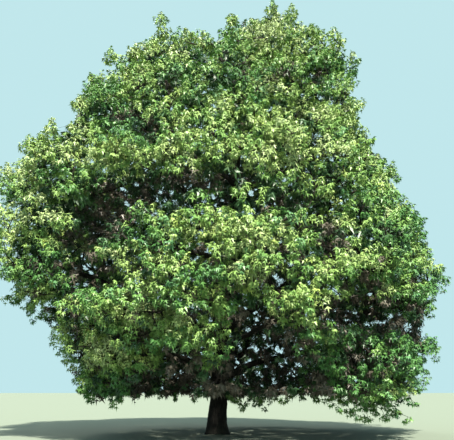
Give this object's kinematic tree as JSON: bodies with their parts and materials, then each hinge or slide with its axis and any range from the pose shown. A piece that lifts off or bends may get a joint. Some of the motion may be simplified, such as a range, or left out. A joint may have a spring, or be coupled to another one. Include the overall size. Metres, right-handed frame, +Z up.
{
  "type": "norway maple tree",
  "caption": "A mature, open-grown norway maple in full summer leaf: one dark trunk, boughs and a broad, low-skirted crown of billowing leaf masses.",
  "frame": {"origin": "the middle of the flat cut under the trunk, at ground level", "axes": "+Z up the trunk; -Y is the front of the tree, the side the picture shows; +X is the right of that view"},
  "size_m": [16.9093, 16.2223, 17.4941],
  "materials": {
    "bark": "matt, furrowed",
    "leaves": "satin leaf"
  },
  "bodies": {
    "root": {"trunk": "bark", "bough_back_left": "bark", "bough_back_low": "bark", "bough_back_right": "bark", "bough_back_rising": "bark", "bough_back_upper": "bark", "bough_front_left": "bark", "bough_front_low": "bark", "bough_front_right": "bark", "bough_front_rising": "bark", "bough_left_low": "bark", "bough_left_rising": "bark", "bough_left_upper": "bark", "bough_right_low": "bark", "bough_right_rising": "bark", "leaf_mass_high_01": "leaves", "leaf_mass_high_02": "leaves", "leaf_mass_high_03": "leaves", "leaf_mass_high_04": "leaves", "leaf_mass_high_05": "leaves", "leaf_mass_lower_01": "leaves", "leaf_mass_lower_02": "leaves", "leaf_mass_lower_03": "leaves", "leaf_mass_lower_04": "leaves", "leaf_mass_lower_05": "leaves", "leaf_mass_lower_06": "leaves", "leaf_mass_lower_07": "leaves", "leaf_mass_lower_08": "leaves", "leaf_mass_lower_09": "leaves", "leaf_mass_lower_10": "leaves", "leaf_mass_middle_01": "leaves", "leaf_mass_middle_02": "leaves", "leaf_mass_middle_03": "leaves", "leaf_mass_middle_04": "leaves", "leaf_mass_middle_05": "leaves", "leaf_mass_middle_06": "leaves", "leaf_mass_middle_07": "leaves", "leaf_mass_middle_08": "leaves", "leaf_mass_middle_09": "leaves", "leaf_mass_middle_10": "leaves", "leaf_mass_skirt_01": "leaves", "leaf_mass_skirt_02": "leaves", "leaf_mass_skirt_03": "leaves", "leaf_mass_skirt_04": "leaves", "leaf_mass_skirt_05": "leaves", "leaf_mass_skirt_06": "leaves", "leaf_mass_skirt_07": "leaves", "leaf_mass_skirt_08": "leaves", "leaf_mass_skirt_09": "leaves", "leaf_mass_skirt_10": "leaves", "leaf_mass_skirt_11": "leaves", "leaf_mass_top_01": "leaves", "leaf_mass_top_02": "leaves", "leaf_mass_upper_01": "leaves", "leaf_mass_upper_02": "leaves", "leaf_mass_upper_03": "leaves", "leaf_mass_upper_04": "leaves", "leaf_mass_upper_05": "leaves", "leaf_mass_upper_06": "leaves", "leaf_mass_upper_07": "leaves"}
  },
  "joints": []
}
